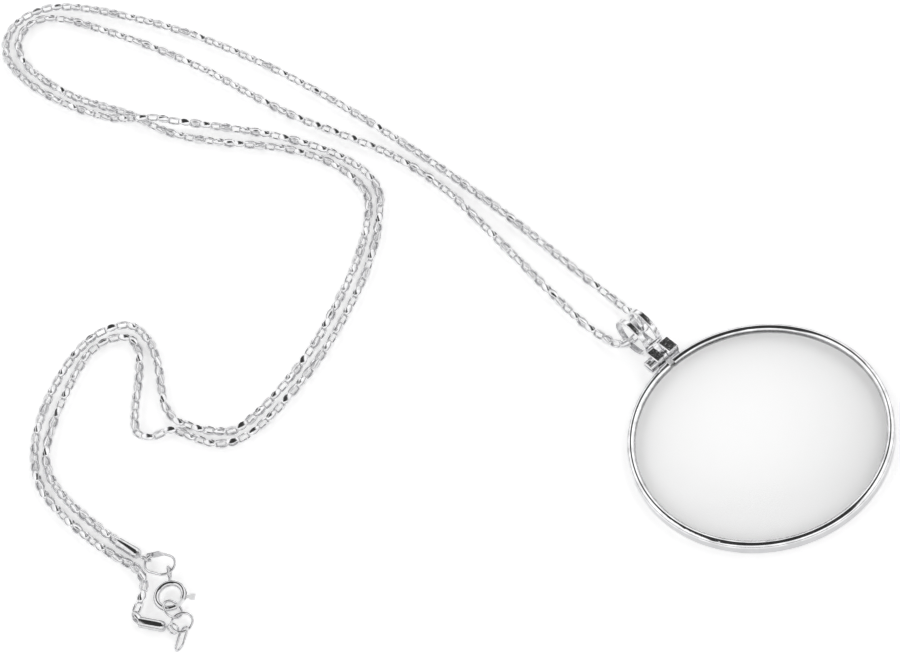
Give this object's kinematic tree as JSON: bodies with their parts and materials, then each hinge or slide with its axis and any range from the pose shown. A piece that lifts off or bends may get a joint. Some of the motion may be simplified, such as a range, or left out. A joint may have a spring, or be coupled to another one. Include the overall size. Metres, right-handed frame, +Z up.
{
  "type": "magnifier pendant necklace",
  "caption": "Round magnifying lens in a split metal ring with a double-loop bail, on a fine link chain with a spring-ring clasp, laid doubled on a table.",
  "frame": {"origin": "centre of the necklace's footprint, on the surface that it lies on", "axes": "+Z up from the surface, the shortest extent; +Y along the longest extent, away from the lens; +X across, towards the lens's side"},
  "size_m": [0.1522, 0.184, 0.0081],
  "materials": {
    "frame_metal": "bright plated",
    "chain_metal": "bright plated",
    "fitting_metal": "bright plated",
    "lens_glass": "clear polished"
  },
  "bodies": {
    "necklace": {"ring_frame": "frame_metal", "lens": "lens_glass", "clamp_screw": "frame_metal", "bail": "frame_metal", "chain": "chain_metal", "end_cap_a": "fitting_metal", "end_cap_b": "fitting_metal", "oval_ring": "fitting_metal", "clasp_ring": "fitting_metal", "catch_ring": "fitting_metal", "cap_ring": "fitting_metal", "end_loop": "fitting_metal", "tag": "fitting_metal"},
    "trigger": {"clasp_trigger": "fitting_metal"}
  },
  "joints": [
    {"name": "trigger_pull", "type": "hinge", "parent": "necklace", "child": "trigger", "pos_m": [-0.0562, -0.0607, 0.0013], "axis": [-0.0133, -0.0685, 0.9976], "range_deg": [0, 46], "stiffness_Nm_per_rad": 0.0005, "springref_deg": -22.92}
  ]
}
